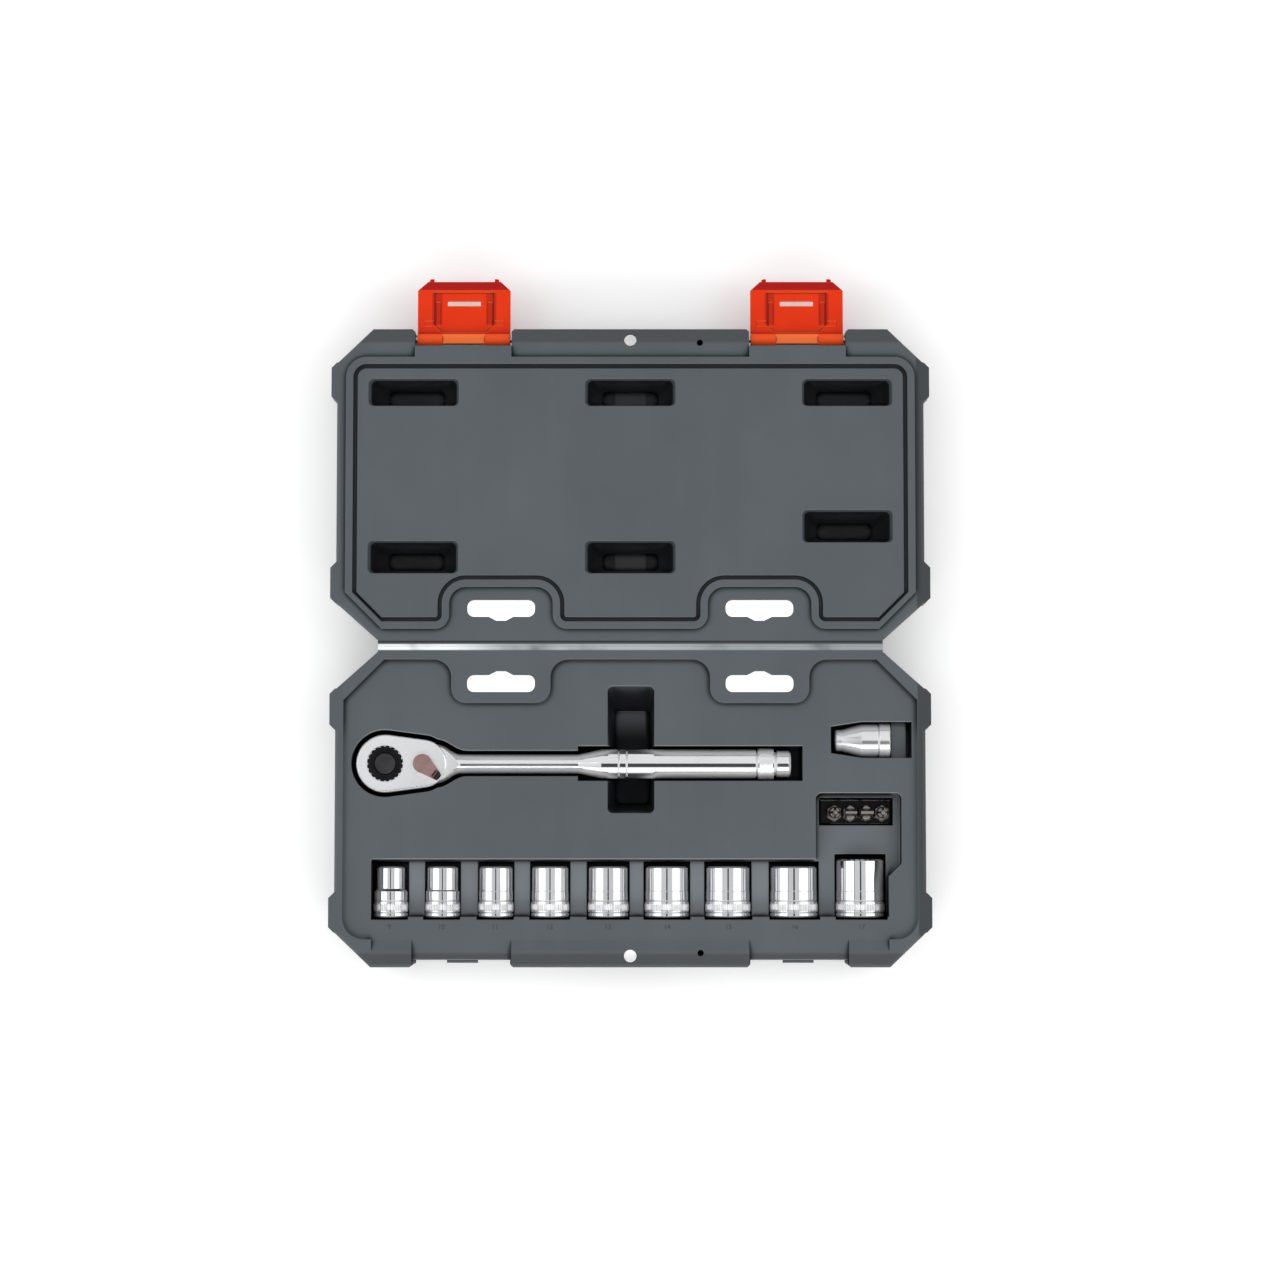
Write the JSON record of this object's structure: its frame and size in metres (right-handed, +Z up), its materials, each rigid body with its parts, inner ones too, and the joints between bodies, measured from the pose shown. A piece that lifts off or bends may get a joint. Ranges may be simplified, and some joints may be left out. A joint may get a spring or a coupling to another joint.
{
  "type": "socket wrench set in case",
  "caption": "Open grey blow-moulded case with orange latches holding a 3/8 inch drive ratchet, a row of metric sockets, a bit adapter and insert bits.",
  "frame": {"origin": "centre of the base's underside, on the surface that the open case lies on", "axes": "+Z up, +Y from the base over the hinge to the lid, +X to the right of someone facing the open set"},
  "size_m": [0.2904, 0.3355, 0.032],
  "materials": {
    "case_shell": "fine-grained blow-moulded polyethylene",
    "latch_plastic": "smooth injection-moulded polypropylene",
    "steel_pin": "zinc-plated",
    "holder_plastic": "smooth black polypropylene",
    "chrome_body": "polished chrome plate",
    "chrome_socket": "polished chrome plate",
    "black_oxide": "black oxide",
    "bit_steel": "satin tool steel",
    "bare_steel": "ground steel"
  },
  "bodies": {
    "base": {"case_base": "case_shell", "bit_holder": "holder_plastic"},
    "lid": {"case_lid": "case_shell", "latch_pin_left": "steel_pin", "latch_pin_right": "steel_pin"},
    "latch_l": {"latch_left": "latch_plastic"},
    "latch_r": {"latch_right": "latch_plastic"},
    "ratchet": {"ratchet_body": "chrome_body", "gear_cover_plate": "bare_steel", "cover_screw_1": "black_oxide", "cover_screw_2": "black_oxide"},
    "drive": {"drive_gear": "black_oxide"},
    "ball": {"drive_ball": "bare_steel"},
    "button": {"release_button": "black_oxide"},
    "lever": {"reverse_lever": "chrome_body"},
    "pawl_rocker": {"pawl": "bare_steel"},
    "adapter": {"bit_adapter": "chrome_body", "adapter_magnet": "bare_steel"},
    "bit_1": {"cross_bit_large": "bit_steel"},
    "bit_2": {"slotted_bit": "bit_steel"},
    "bit_3": {"slotted_bit_wide": "bit_steel"},
    "bit_4": {"cross_bit_small": "bit_steel"},
    "socket_09": {"socket_09mm": "chrome_socket"},
    "socket_10": {"socket_10mm": "chrome_socket"},
    "socket_11": {"socket_11mm": "chrome_socket"},
    "socket_12": {"socket_12mm": "chrome_socket"},
    "socket_13": {"socket_13mm": "chrome_socket"},
    "socket_14": {"socket_14mm": "chrome_socket"},
    "socket_15": {"socket_15mm": "chrome_socket"},
    "socket_16": {"socket_16mm": "chrome_socket"},
    "socket_17": {"socket_17mm": "chrome_socket"}
  },
  "joints": [
    {"name": "lid_hinge", "type": "hinge", "parent": "base", "child": "lid", "pos_m": [0, 0.07865, 0.03], "axis": [-1, 0, 0], "range_deg": [-180, 0]},
    {"name": "latch_left_hinge", "type": "hinge", "parent": "lid", "child": "latch_l", "pos_m": [-0.0812, 0.22845, 0.025], "axis": [-1, 0, 0], "range_deg": [-90, 0]},
    {"name": "latch_right_hinge", "type": "hinge", "parent": "lid", "child": "latch_r", "pos_m": [0.0812, 0.22845, 0.025], "axis": [-1, 0, 0], "range_deg": [-90, 0]},
    {"name": "ratchet_lift", "type": "slide", "parent": "base", "child": "ratchet", "axis": [0, 0, 1], "range_m": [0, 0.06]},
    {"name": "drive_spin", "type": "hinge", "parent": "ratchet", "child": "drive", "pos_m": [-0.1186, 0.02195, 0.01915], "axis": [0, 0, 1], "continuous": true},
    {"name": "button_press", "type": "slide", "parent": "drive", "child": "button", "axis": [0, 0, 1], "range_m": [-0.002, 0], "stiffness_N_per_m": 300, "springref_m": 0.002},
    {"name": "ball_retract", "type": "slide", "parent": "drive", "child": "ball", "axis": [0, -1, 0], "range_m": [-0.0006, 0]},
    {"name": "lever_turn", "type": "hinge", "parent": "ratchet", "child": "lever", "pos_m": [-0.1005, 0.02195, 0.01915], "axis": [0, 0, 1], "range_deg": [0, 80]},
    {"name": "pawl_rock", "type": "hinge", "parent": "ratchet", "child": "pawl_rocker", "pos_m": [-0.1005, 0.02195, 0.01915], "axis": [0, 0, 1], "range_deg": [0, 5]},
    {"name": "adapter_lift", "type": "slide", "parent": "base", "child": "adapter", "axis": [0, 0, 1], "range_m": [0, 0.05]},
    {"name": "socket_09_lift", "type": "slide", "parent": "base", "child": "socket_09", "axis": [0, 0, 1], "range_m": [0, 0.05]},
    {"name": "socket_10_lift", "type": "slide", "parent": "base", "child": "socket_10", "axis": [0, 0, 1], "range_m": [0, 0.05]},
    {"name": "socket_11_lift", "type": "slide", "parent": "base", "child": "socket_11", "axis": [0, 0, 1], "range_m": [0, 0.05]},
    {"name": "socket_12_lift", "type": "slide", "parent": "base", "child": "socket_12", "axis": [0, 0, 1], "range_m": [0, 0.05]},
    {"name": "socket_13_lift", "type": "slide", "parent": "base", "child": "socket_13", "axis": [0, 0, 1], "range_m": [0, 0.05]},
    {"name": "socket_14_lift", "type": "slide", "parent": "base", "child": "socket_14", "axis": [0, 0, 1], "range_m": [0, 0.05]},
    {"name": "socket_15_lift", "type": "slide", "parent": "base", "child": "socket_15", "axis": [0, 0, 1], "range_m": [0, 0.05]},
    {"name": "socket_16_lift", "type": "slide", "parent": "base", "child": "socket_16", "axis": [0, 0, 1], "range_m": [0, 0.05]},
    {"name": "socket_17_lift", "type": "slide", "parent": "base", "child": "socket_17", "axis": [0, 0, 1], "range_m": [0, 0.05]},
    {"name": "bit_1_lift", "type": "slide", "parent": "base", "child": "bit_1", "axis": [0, 0, 1], "range_m": [0, 0.05]},
    {"name": "bit_2_lift", "type": "slide", "parent": "base", "child": "bit_2", "axis": [0, 0, 1], "range_m": [0, 0.05]},
    {"name": "bit_3_lift", "type": "slide", "parent": "base", "child": "bit_3", "axis": [0, 0, 1], "range_m": [0, 0.05]},
    {"name": "bit_4_lift", "type": "slide", "parent": "base", "child": "bit_4", "axis": [0, 0, 1], "range_m": [0, 0.05]}
  ],
  "couplings": [
    {"joint": "pawl_rock", "follows": "lever_turn", "ratio": 0.0625},
    {"joint": "ball_retract", "follows": "button_press", "ratio": 0.3}
  ]
}
